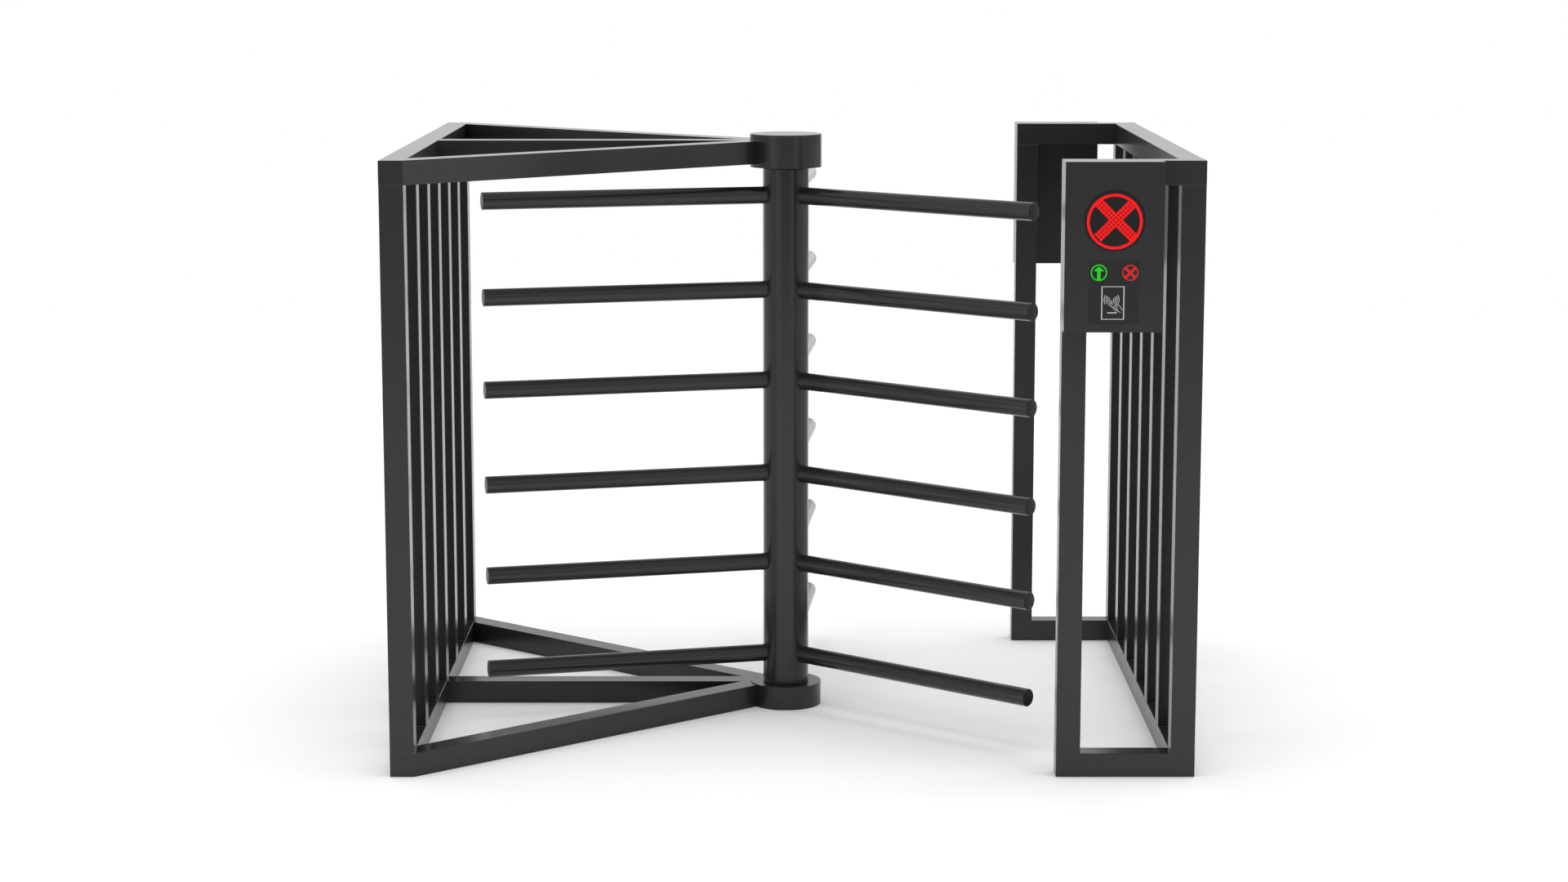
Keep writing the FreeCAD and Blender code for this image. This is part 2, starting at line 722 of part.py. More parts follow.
def ball_bearings():
    """Upper and lower ball bearing: outer rings and balls stand still, inner rings turn."""
    outer_rings, inner_rings, balls = [], [], []
    for level, z in (("lower", "lower_bearing_z"), ("upper", "upper_bearing_z")):
        middle = f"{z} + bearing_height / 2"
        for rings, kind, inside, outside in (
            (outer_rings, "outer", "bearing_pitch + bearing_gap", "bearing_radius"),
            (inner_rings, "inner", "spindle_radius", "bearing_pitch - bearing_gap"),
        ):
            name = f"{level}_{kind}_ring"
            corners = [(inside, "0"), (outside, "0"), (outside, "bearing_height"), (inside, "bearing_height")]
            blank = place(revolve(f"{name}_blank", corners), *HUB, z)
            groove = doc.addObject("Part::Torus", f"{name}_groove")
            bind(groove, "Radius1", "bearing_pitch")
            bind(groove, "Radius2", "ball_radius + ball_play")
            place(groove, *HUB, middle)
            rings.append(boolean("Cut", name, blank, groove))
        for i in range(int(value("ball_count"))):
            ball = doc.addObject("Part::Sphere", f"{level}_ball_{i + 1}")
            bind(ball, "Radius", "ball_radius")
            balls.append(place(ball, *around_hub("bearing_pitch", f"({i} * 360 / ball_count)", middle)))
    group("bearing_outer_rings", outer_rings)
    group("bearing_inner_rings", inner_rings)
    group("bearing_balls", balls)


# ---- rotor -----------------------------------------------------------------------------------

COLUMN_BORE = "column_radius - column_wall"
LOWER_FLANGE = "column_bottom + column_wall"
UPPER_FLANGE = "column_top - column_wall - flange_plate"


def column():
    """Column tube, the plates in its ends and the stub shafts that run in the bearings."""
    length = "column_top - column_bottom"
    tube = revolve(
        "rotor_column",
        [
            (COLUMN_BORE, "0"),
            ("column_radius - column_chamfer", "0"),
            ("column_radius", "column_chamfer"),
            ("column_radius", f"{length} - column_chamfer"),
            ("column_radius - column_chamfer", length),
            (COLUMN_BORE, length),
        ],
    )
    keep(place(tube, *HUB, "column_bottom"), "rotor_column")

    flanges = []
    for name, z in (("lower_flange", LOWER_FLANGE), ("upper_flange", UPPER_FLANGE)):
        corners = [
            ("spindle_radius", "0"),
            (COLUMN_BORE, "0"),
            (COLUMN_BORE, "flange_plate"),
            ("spindle_radius", "flange_plate"),
        ]
        flanges.append(place(revolve(name, corners), *HUB, z))
    group("rotor_flanges", flanges)

    upper_shoulder = f"upper_bearing_z - ({UPPER_FLANGE})"
    upper_end = f"spindle_top - ({UPPER_FLANGE})"
    upper = revolve(
        "upper_spindle",
        [
            ("0", "0"),
            ("spindle_radius", "0"),
            ("spindle_radius", "flange_plate"),
            ("shoulder_radius", "flange_plate"),
            ("shoulder_radius", upper_shoulder),
            ("spindle_radius", upper_shoulder),
            ("spindle_radius", upper_end),
            ("0", upper_end),
        ],
    )
    keep(place(upper, *HUB, UPPER_FLANGE), "upper_spindle")

    shoulder_foot = "lower_bearing_z + bearing_height - spindle_bottom"
    shoulder_top = f"{LOWER_FLANGE} - spindle_bottom"
    lower_end = f"{shoulder_top} + flange_plate"
    lower = revolve(
        "lower_spindle",
        [
            ("0", "0"),
            ("spindle_radius", "0"),
            ("spindle_radius", shoulder_foot),
            ("shoulder_radius", shoulder_foot),
            ("shoulder_radius", shoulder_top),
            ("spindle_radius", shoulder_top),
            ("spindle_radius", lower_end),
            ("0", lower_end),
        ],
    )
    keep(place(lower, *HUB, "spindle_bottom"), "lower_spindle")


def lock_wheel():
    """Wheel on the upper shaft with a ring of holes for the lock pin."""
    rise = f"wheel_z - ({BEARING_TOP})"
    wheel = revolve(
        "lock_wheel",
        [
            ("spindle_radius", "0"),
            ("shoulder_radius", "0"),
            ("shoulder_radius", rise),
            ("wheel_radius", rise),
            ("wheel_radius", f"{rise} + wheel_plate"),
            ("spindle_radius", f"{rise} + wheel_plate"),
        ],
    )
    sketch = new_sketch(wheel)
    add_circle(sketch, "pin_circle", 0, "pin_hole")
    hole = feature(wheel, "Pocket", sketch, f"{rise} + wheel_plate", Reversed=True)
    ring_pattern(wheel, hole, "pin_hole_count")
    keep(place(wheel, *HUB, BEARING_TOP, about_z("solenoid_angle")), "lock_wheel")


def counting_disc():
    """Perforated disc whose holes the fork sensor counts."""
    rise = "encoder_z - wheel_z - wheel_plate"
    disc = revolve(
        "counting_disc",
        [
            ("spindle_radius", "0"),
            ("shoulder_radius", "0"),
            ("shoulder_radius", rise),
            ("encoder_radius", rise),
            ("encoder_radius", f"{rise} + encoder_plate"),
            ("spindle_radius", f"{rise} + encoder_plate"),
        ],
    )
    sketch = new_sketch(disc)
    add_circle(sketch, "count_circle", 0, "count_hole")
    hole = feature(disc, "Pocket", sketch, f"{rise} + encoder_plate", Reversed=True)
    ring_pattern(disc, hole, "count_holes")
    keep(place(disc, *HUB, "wheel_z + wheel_plate"), "counting_disc")


def arm_heights():
    """Heights of the six arms of a wing, in steps that take turns."""
    heights = ["arm_first"]
    for i in range(5):
        heights.append(f"{heights[-1]} + {'arm_step_narrow' if i % 2 else 'arm_step_wide'}")
    return heights


def wings():
    """Three wings of six tubes coped to the column, with a cap in the end of each."""
    caps = []
    cap_foot = "arm_reach - cap_plate - cap_plug"
    plug = "arm_radius - arm_wall"
    cap_end = "cap_plug + cap_plate"
    for side in ("left", "right", "rear"):
        angle = f"wing_{side}"
        turn = about_z(angle) * ALONG_X
        arms = []
        for i, z in enumerate(arm_heights(), 1):
            name = f"{side}_arm_{i}"
            length = "arm_reach - cap_plate"
            outer = cylinder(f"{name}_outer", "arm_radius", length, *HUB, z, turn)
            bore = cylinder(f"{name}_bore", plug, length, *HUB, z, turn)
            tube = boolean("Cut", f"{name}_tube", outer, bore)
            core = cylinder(f"{name}_core", "column_radius", "4 * arm_radius", *HUB, f"{z} - 2 * arm_radius")
            arms.append(boolean("Cut", name, tube, core))
            cap = revolve(
                f"{side}_cap_{i}",
                [
                    ("0", "0"),
                    (plug, "0"),
                    (plug, "cap_plug"),
                    ("arm_radius", "cap_plug"),
                    ("arm_radius", f"{cap_end} - cap_chamfer"),
                    ("arm_radius - cap_chamfer", cap_end),
                    ("0", cap_end),
                ],
            )
            caps.append(place(cap, *around_hub(cap_foot, angle, z), turn))
        group(f"{side}_wing", arms)
    group("arm_end_caps", caps)


# ---- signal boxes ----------------------------------------------------------------------------


def signal_boxes():
    """Box with a lamp window and a card reader window, on the outside of each portal."""
    plates, lamp_boards, reader_boards, spacers, screws = [], [], [], [], []
    lamp_x, lamp_z = "box_width / 2", "box_height - lamp_drop"
    reader_x, reader_z = "(box_width - reader_width) / 2", "box_height - reader_drop - reader_height"
    back = "box_depth - box_wall"
    board_y = "window_recess + window_plate + board_gap"
    spacer_length = f"{back} - ({board_y}) - board_plate"
    near, far = "tube_side / 2", "box_width - tube_side / 2"
    rail_screw_z = "box_height - tube_side / 2"
    for end, corner_x, corner_y, degrees, post_x in (
        ("front", PORTAL_EDGE, "-frame_depth / 2 - box_depth", 0, near),
        ("rear", f"{PORTAL_EDGE} + box_width", "frame_depth / 2 + box_depth", 180, far),
    ):
        corner = (corner_x, corner_y, BOX_Z, about_z(degrees))

        shell = box(f"{end}_box_outer", "box_width", "box_depth", "box_height")
        inner_width, inner_height = "box_width - 2 * box_wall", "box_height - 2 * box_wall"
        cavity = box(f"{end}_box_cavity", inner_width, "box_depth", inner_height, *["box_wall"] * 3)
        tray = boolean("Cut", f"{end}_box_tray", shell, cavity)
        lamp_hole = cylinder(f"{end}_lamp_hole", "lamp_radius", "box_depth", lamp_x, 0, lamp_z, ALONG_Y)
        drilled = boolean("Cut", f"{end}_box_drilled", tray, lamp_hole)
        opening = ("reader_width", "box_wall", "reader_height")
        reader_hole = box(f"{end}_reader_hole", *opening, reader_x, 0, reader_z)
        housing = boolean("Cut", f"{end}_signal_housing", drilled, reader_hole)
        keep(place(housing, *corner), f"{end}_signal_housing")

        lamp_place = (lamp_x, "window_recess", lamp_z, ALONG_Y)
        lamp = cylinder(f"{end}_lamp_blank", "lamp_radius", "window_plate", *lamp_place)
        keep(moved(lamp, f"{end}_lamp_window", corner), f"{end}_lamp_window")
        pane = ("reader_width", "window_plate", "reader_height")
        reader = box(f"{end}_reader_blank", *pane, reader_x, "window_recess", reader_z)
        keep(moved(reader, f"{end}_reader_window", corner), f"{end}_reader_window")

        disc_place = (lamp_x, board_y, lamp_z, ALONG_Y)
        board = cylinder(f"{end}_lamp_disc", "lamp_radius - board_margin", "board_plate", *disc_place)
        lamp_boards.append(moved(board, f"{end}_lamp_board", corner))
        sheet_size = ("reader_width - 2 * board_margin", "board_plate", "reader_height - 2 * board_margin")
        sheet_place = (f"{reader_x} + board_margin", board_y, f"{reader_z} + board_margin")
        board = box(f"{end}_reader_sheet", *sheet_size, *sheet_place)
        reader_boards.append(moved(board, f"{end}_reader_board", corner))

        for x in (f"{lamp_x} - 2 * tube_side / 3", f"{lamp_x} + 2 * tube_side / 3"):
            for z in (lamp_z, f"{reader_z} + reader_height / 2"):
                name = f"spacer_{len(spacers) + 1}"
                foot = (x, f"{board_y} + board_plate", z, ALONG_Y)
                pillar = cylinder(f"{name}_blank", "spacer_radius", spacer_length, *foot)
                spacers.append(moved(pillar, name, corner))

        plate_size = (inner_width, "box_wall", inner_height)
        plate = box(f"{end}_plate_blank", *plate_size, "box_wall", back, "box_wall")
        for x, z in ((near, rail_screw_z), (far, rail_screw_z), (post_x, "lower_screw")):
            name = f"box_screw_{len(screws) + 1}"
            hole = cylinder(f"{name}_hole", "screw_radius", "box_wall", x, back, z, ALONG_Y)
            plate = boolean("Cut", f"{name}_plate", plate, hole)
            blank = cap_screw(f"{name}_blank", "box_screw")
            place(blank, x, f"{back} - screw_head_height", z, ALONG_Y)
            screws.append(moved(blank, name, corner))
        plates.append(moved(plate, f"{end}_back_plate", corner))
    group("signal_back_plates", plates)
    group("lamp_boards", lamp_boards)
    group("reader_boards", reader_boards)
    group("board_spacers", spacers)
    group("signal_box_screws", screws)


def moved(obj, name, corner):
    """The object carried from a signal box's own corner to the box's place."""
    carrier = doc.addObject("Part::Compound", name)
    carrier.Links = [obj]
    return place(carrier, *corner)


# ---- model -----------------------------------------------------------------------------------

side_frames()
corner_posts_and_portals()
rail_end_plates()
brackets()
head_drum()
lock_solenoid()
fork_sensor()
controller()
base_drum()
ball_bearings()
column()
lock_wheel()
counting_disc()
wings()
signal_boxes()
doc.recompute()

for obj in doc.Objects:
    if {"Invalid", "Error"} & set(obj.State):
        raise RuntimeError(f"{obj.Label} failed: {obj.State}")
os.makedirs("parts", exist_ok=True)
for obj in sub_parts:
    shape = obj.Shape
    if shape.isNull() or not shape.isValid() or not shape.Solids:
        raise RuntimeError(f"{obj.Label} has no valid solid")
    shape.exportStep(f"parts/{obj.Label}.step")
print(len(sub_parts), "sub-parts,", sum(len(obj.Shape.Solids) for obj in sub_parts), "solids")
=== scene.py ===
import json
import math

import bmesh
import bpy
from mathutils import Matrix, Vector


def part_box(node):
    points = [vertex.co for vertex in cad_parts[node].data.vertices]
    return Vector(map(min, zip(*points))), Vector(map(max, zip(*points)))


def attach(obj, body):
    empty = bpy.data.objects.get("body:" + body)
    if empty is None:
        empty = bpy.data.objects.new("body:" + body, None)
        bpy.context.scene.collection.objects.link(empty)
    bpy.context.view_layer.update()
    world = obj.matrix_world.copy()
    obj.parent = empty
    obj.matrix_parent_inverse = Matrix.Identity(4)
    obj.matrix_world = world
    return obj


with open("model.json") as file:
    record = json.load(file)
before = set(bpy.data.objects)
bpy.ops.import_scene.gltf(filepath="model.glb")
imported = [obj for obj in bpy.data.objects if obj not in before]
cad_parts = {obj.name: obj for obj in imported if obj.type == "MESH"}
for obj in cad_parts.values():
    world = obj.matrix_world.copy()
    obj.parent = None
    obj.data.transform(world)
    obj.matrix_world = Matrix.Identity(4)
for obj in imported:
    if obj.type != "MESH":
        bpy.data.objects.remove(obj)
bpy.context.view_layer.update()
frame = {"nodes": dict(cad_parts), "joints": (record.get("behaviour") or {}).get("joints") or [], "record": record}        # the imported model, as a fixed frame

MM = 0.001
SCENE = bpy.context.scene
SIDES = ("front", "rear")

# The rotor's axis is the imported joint's own; its arms repeat the design values of the CAD source.
SPIN = next(j for j in frame["joints"] if j["name"] == "rotor_spin")
AXIS = Vector((SPIN["pos_m"][0], SPIN["pos_m"][1], 0))
WING_ANGLES = (195.1, 319.2, 85.3)                            # degrees about the axis, from +X
ARM_LEVELS = (119.0, 329.5, 533.0, 743.5, 947.0, 1157.5)      # mm above the floor
ARM_RADIUS = 19.2 * MM
COLUMN_RADIUS = (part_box("rotor_column")[1].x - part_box("rotor_column")[0].x) / 2


# ---------------------------------------------------------------- materials

class Graph:
    """One material's node tree, with a Principled shader and object coordinates in metres."""

    def __init__(self, name):
        self.material = bpy.data.materials.new(name)
        self.material.use_nodes = True
        self.tree = self.material.node_tree
        self.tree.nodes.clear()
        self.shader = self.add("ShaderNodeBsdfPrincipled")
        output = self.add("ShaderNodeOutputMaterial")
        self.tree.links.new(self.shader.outputs["BSDF"], output.inputs["Surface"])
        self.coordinates = self.add("ShaderNodeTexCoord").outputs["Object"]
        self.normal = None

    def add(self, kind, **settings):
        node = self.tree.nodes.new(kind)
        for name, value in settings.items():
            setattr(node, name, value)
        return node

    def feed(self, socket, source):
        """Links an input to another node's output, or sets its value."""
        if isinstance(source, bpy.types.NodeSocket):
            self.tree.links.new(source, socket)
        else:
            socket.default_value = source

    def wire(self, node, **sources):
        """Links or sets inputs by name; underscores stand for spaces."""
        for name, source in sources.items():
            self.feed(node.inputs[name.replace("_", " ")], source)
        return node

    def surface(self, **values):
        self.wire(self.shader, **values)

    def placed(self, stretch=(1, 1, 1), origin=(0, 0, 0)):
        """Object coordinates about a point, stretched along the axes."""
        moved = self.wire(self.add("ShaderNodeMapping"), Vector=self.coordinates, Scale=stretch)
        moved.inputs["Location"].default_value = [-o * s for o, s in zip(origin, stretch)]
        return moved.outputs["Vector"]

    def noise(self, scale, detail=2.0, stretch=(1, 1, 1), sharp=0.5):
        node = self.wire(self.add("ShaderNodeTexNoise"), Vector=self.placed(stretch),
                         Scale=scale, Detail=detail, Roughness=sharp)
        return node.outputs["Fac"]

    def spread(self, source, low, high, start=0.3, end=0.7):
        """Maps a pattern's range start..end to low..high."""
        node = self.wire(self.add("ShaderNodeMapRange"), Value=source, From_Min=start,
                         From_Max=end, To_Min=low, To_Max=high)
        return node.outputs["Result"]

    def maths(self, operation, first, second):
        node = self.add("ShaderNodeMath", operation=operation)
        for socket, source in zip(node.inputs, (first, second)):
            self.feed(socket, source)
        return node.outputs[0]

    def tint(self, share, first, second):
        """Mixes two colours (or the colour that another tint gives) by a pattern."""
        node = self.add("ShaderNodeMix", data_type="RGBA")
        for socket, source in zip((node.inputs[0], node.inputs[6], node.inputs[7]),
                                  (share, first, second)):
            plain = isinstance(source, (float, bpy.types.NodeSocket))
            self.feed(socket, source if plain else (*source, 1))
        return node.outputs[2]

    def relief(self, height, depth):
        """Adds a bump of that depth in metres, on top of the bumps before it."""
        node = self.wire(self.add("ShaderNodeBump"), Height=height, Distance=depth, Strength=1.0)
        if self.normal:
            self.tree.links.new(self.normal, node.inputs["Normal"])
        self.normal = node.outputs["Normal"]
        self.tree.links.new(self.normal, self.shader.inputs["Normal"])

    def edges(self, radius):
        """A share that rises from 0 on the flats to 1 along the edges."""
        rounded = self.add("ShaderNodeBevel", samples=4)
        rounded.inputs["Radius"].default_value = radius
        flat = self.add("ShaderNodeNewGeometry").outputs["Normal"]
        dot = self.add("ShaderNodeVectorMath", operation="DOT_PRODUCT")
        self.tree.links.new(rounded.outputs["Normal"], dot.inputs[0])
        self.tree.links.new(flat, dot.inputs[1])
        return self.spread(dot.outputs["Value"], 1.0, 0.0, 0.80, 0.99)


EDGE_WEAR_AND_HIGHLIGHT_WIDTH = 1.1 * MM              # of the thinner paint along an edge, which is paler there partly as a painted highlight
PEEL_DEPTH = 0.026 * MM
GRAIN_DEPTH = 0.012 * MM


def powder_coat(name, shade, roughness, seed, flush=None):
    """Dark satin powder coat: fine orange peel, slight mottling, thinner on the edges and paler there,
    partly as wear and partly as a painted highlight.
    Faces whose normal lies along flush are ground flush before painting, so they have no worn,
    highlighted edge."""
    g = Graph(name)
    mottle = g.noise(9 + seed, 4, (1, 1, 0.6))
    grain = g.noise(900, 2)
    peel = g.noise(430, 2)
    scuffs = g.spread(g.noise(46, 5, (1, 1, 0.25), 0.7), 0.0, 1.0, 0.64, 0.74)
    worn_edge_and_painted_highlight = g.maths("MULTIPLY", g.edges(EDGE_WEAR_AND_HIGHLIGHT_WIDTH), g.spread(g.noise(30, 4), 0.25, 1.0))
    if flush:
        along = g.add("ShaderNodeVectorMath", operation="DOT_PRODUCT")
        g.tree.links.new(g.add("ShaderNodeNewGeometry").outputs["Normal"], along.inputs[0])
        along.inputs[1].default_value = flush
        facing = g.maths("ABSOLUTE", along.outputs["Value"], 0.0)
        worn_edge_and_painted_highlight = g.maths("MULTIPLY", worn_edge_and_painted_highlight, g.spread(facing, 1.0, 0.0, 0.5, 0.9))
    body = g.tint(mottle, [c * 0.92 for c in shade], [c * 1.08 for c in shade])
    speckled = g.tint(g.spread(grain, 0.0, 0.30, 0.52, 0.72), body, [c * 1.7 for c in shade])
    pale_edge_painted_highlight = [c * 4.2 for c in shade]
    # Edges are paler here, partly as thinner, worn paint and partly as a painted highlight.
    g.surface(Base_Color=g.tint(g.maths("MULTIPLY", worn_edge_and_painted_highlight, 0.75), speckled, pale_edge_painted_highlight), IOR=1.47)
    uneven = g.spread(mottle, roughness - 0.005, roughness + 0.010)
    scuffed = g.maths("ADD", uneven, g.maths("MULTIPLY", scuffs, 0.03))
    g.surface(Roughness=g.maths("ADD", scuffed, g.maths("MULTIPLY", worn_edge_and_painted_highlight, 0.12)))
    g.relief(peel, PEEL_DEPTH)
    g.relief(grain, GRAIN_DEPTH)
    return g.material


def turned_steel(name, shade, roughness, pitch):
    """Bare steel turned on a lathe about the rotor's axis, with fine tool rings."""
    g = Graph(name)
    rings = g.add("ShaderNodeTexWave", wave_type="RINGS", rings_direction="Z")
    g.wire(rings, Vector=g.placed(origin=AXIS), Scale=1 / pitch, Distortion=0.6, Detail=2.0)
    stain = g.noise(60, 4)
    g.surface(Metallic=1.0, Base_Color=g.tint(stain, [c * 0.8 for c in shade], shade),
              Roughness=g.spread(stain, roughness, roughness + 0.12))
    g.relief(rings.outputs["Fac"], 0.01 * MM)
    g.relief(g.noise(1400, 1), 0.004 * MM)
    return g.material


def zinc_plate(name):
    """Bright zinc plating with the faint blue-grey spangle of barrel-plated screws."""
    g = Graph(name)
    cells = g.wire(g.add("ShaderNodeTexVoronoi"), Vector=g.coordinates, Scale=700.0)
    spangle = cells.outputs["Distance"]
    g.surface(Metallic=1.0, Base_Color=g.tint(spangle, (0.50, 0.53, 0.57), (0.72, 0.72, 0.70)),
              Roughness=g.spread(g.noise(300, 3), 0.26, 0.42))
    g.relief(spangle, 0.01 * MM)
    return g.material


def smoked_window(name, shade, gloss):
    """Smoked polycarbonate with a satin face."""
    g = Graph(name)
    haze = g.noise(20, 3)
    g.surface(Base_Color=g.tint(haze, [c * 0.8 for c in shade], [c * 1.25 for c in shade]),
              Specular_IOR_Level=gloss, Roughness=g.spread(haze, 0.30, 0.38))
    g.relief(g.noise(1300, 2), 0.006 * MM)
    return g.material


def solder_mask(name):
    """Green solder mask over copper tracks, with tinned pads."""
    g = Graph(name)
    tracks = g.wire(g.add("ShaderNodeTexBrick"), Vector=g.placed(), Scale=90.0,
                    Mortar_Size=0.06, Mortar_Smooth=0.3)
    pads = g.wire(g.add("ShaderNodeTexVoronoi"), Vector=g.coordinates, Scale=230.0)
    pad = g.spread(pads.outputs["Distance"], 1.0, 0.0, 0.16, 0.22)
    green = g.tint(tracks.outputs["Fac"], (0.012, 0.085, 0.035), (0.03, 0.16, 0.07))
    g.surface(Base_Color=g.tint(pad, green, (0.60, 0.58, 0.52)), Metallic=g.spread(pad, 0, 0.9, 0, 1),
              Roughness=g.spread(g.noise(80, 3), 0.28, 0.45))
    g.relief(tracks.outputs["Fac"], 0.03 * MM)
    return g.material


def moulded_plastic(name, shade, roughness):
    """Moulded plastic with a fine spark-eroded grain."""
    g = Graph(name)
    grain = g.noise(1100, 3)
    g.surface(Base_Color=g.tint(g.noise(40, 3), [c * 0.8 for c in shade], [c * 1.25 for c in shade]),
              Roughness=g.spread(grain, roughness - 0.05, roughness + 0.08))
    g.relief(grain, 0.02 * MM)
    return g.material


def ink(name, shade, glow):
    """Screen-printed ink on the window, which a light behind it may make glow."""
    g = Graph(name)
    body = g.noise(500, 3)
    colour = g.tint(body, [c * 0.93 for c in shade], shade)
    g.surface(Base_Color=colour, Roughness=g.spread(body, 0.5, 0.6), Specular_IOR_Level=0.2)
    if glow:
        g.surface(Emission_Color=colour, Emission_Strength=glow,
                  Base_Color=g.tint(body, [c * 0.05 for c in shade], [c * 0.08 for c in shade]))
    g.relief(body, 0.01 * MM)
    return g.material


CHARCOAL = (0.0137, 0.0137, 0.0141)
FINISHES = {
    "frame_paint": powder_coat("charcoal_powder_coat", CHARCOAL, 0.24, 0),
    "rotor_paint": powder_coat("charcoal_powder_coat_tubes", CHARCOAL, 0.19, 4),
    "machined_steel": turned_steel("turned_steel", (0.55, 0.55, 0.56), 0.24, 0.9 * MM),
    "bearing_steel": turned_steel("ground_bearing_steel", (0.70, 0.70, 0.72), 0.12, 0.3 * MM),
    "zinc": zinc_plate("zinc_plating"),
    "dark_window": smoked_window("smoked_lamp_window", (0.0095, 0.0095, 0.010), 0.22),
    "circuit_board": solder_mask("solder_mask_green"),
    "black_plastic": moulded_plastic("black_moulded_plastic", (0.006, 0.006, 0.0065), 0.60),
}
# Rails, and the plates that close their open ends, ground flush with the tube.
FLUSH_ENDS = {
    "rail_end_plates": powder_coat("charcoal_powder_coat_end_plates", CHARCOAL, 0.24, 0, (1, 1, 0)),
    "left_top_rail": powder_coat("charcoal_powder_coat_long_rails", CHARCOAL, 0.24, 0, (0, 1, 0)),
    "front_top_rail": powder_coat("charcoal_powder_coat_short_rails", CHARCOAL, 0.24, 0, (1, 0, 0)),
}
for along_y in ("left_bottom_rail", "right_top_rail", "right_bottom_rail"):
    FLUSH_ENDS[along_y] = FLUSH_ENDS["left_top_rail"]
for along_x in ("front_bottom_rail", "rear_top_rail", "rear_bottom_rail"):
    FLUSH_ENDS[along_x] = FLUSH_ENDS["front_top_rail"]
# The seams and the column's foot lip are painted 2.6 times lighter than the charcoal, as a painted
# highlight along their beads.
SEAM_PAINT_WITH_PAINTED_HIGHLIGHT = powder_coat("charcoal_powder_coat_painted_highlight_on_seams", [2.6 * c for c in CHARCOAL], 0.30, 2)
READER_FACE = smoked_window("smoked_reader_window", (0.0125, 0.0125, 0.013), 0.32)
LED_RED = ink("red_led_lens", (1.0, 0.004, 0.004), 1.05)
PRINT_RED = ink("red_backlit_print", (0.70, 0.018, 0.020), 0.90)
PRINT_GREEN = ink("green_backlit_print", (0.012, 0.60, 0.012), 1.0)
PRINT_GREY = ink("pale_grey_print", (0.46, 0.46, 0.46), 0.0)

for part in frame["record"]["subparts"]:
    finish = FLUSH_ENDS.get(part["node"], FINISHES[part["material_slot"]])
    if part["node"].endswith("reader_window"):
        finish = READER_FACE
    for material_slot in frame["nodes"][part["node"]].material_slots:
        material_slot.material = finish


# ---------------------------------------------------------------- mesh pieces

def piece(name, points, faces, material, body, smooth=True):
    """A mesh object that rides on a body."""
    mesh = bpy.data.meshes.new(name)
    mesh.from_pydata([tuple(p) for p in points], [], faces)
    mesh.validate()
    shell = bmesh.new()
    shell.from_mesh(mesh)
    bmesh.ops.recalc_face_normals(shell, faces=shell.faces)
    shell.to_mesh(mesh)
    shell.free()
    mesh.materials.append(material)
    if smooth:
        mesh.shade_smooth()
    else:
        mesh.shade_flat()
    made = bpy.data.objects.new(name, mesh)
    SCENE.collection.objects.link(made)
    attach(made, body)
    return made


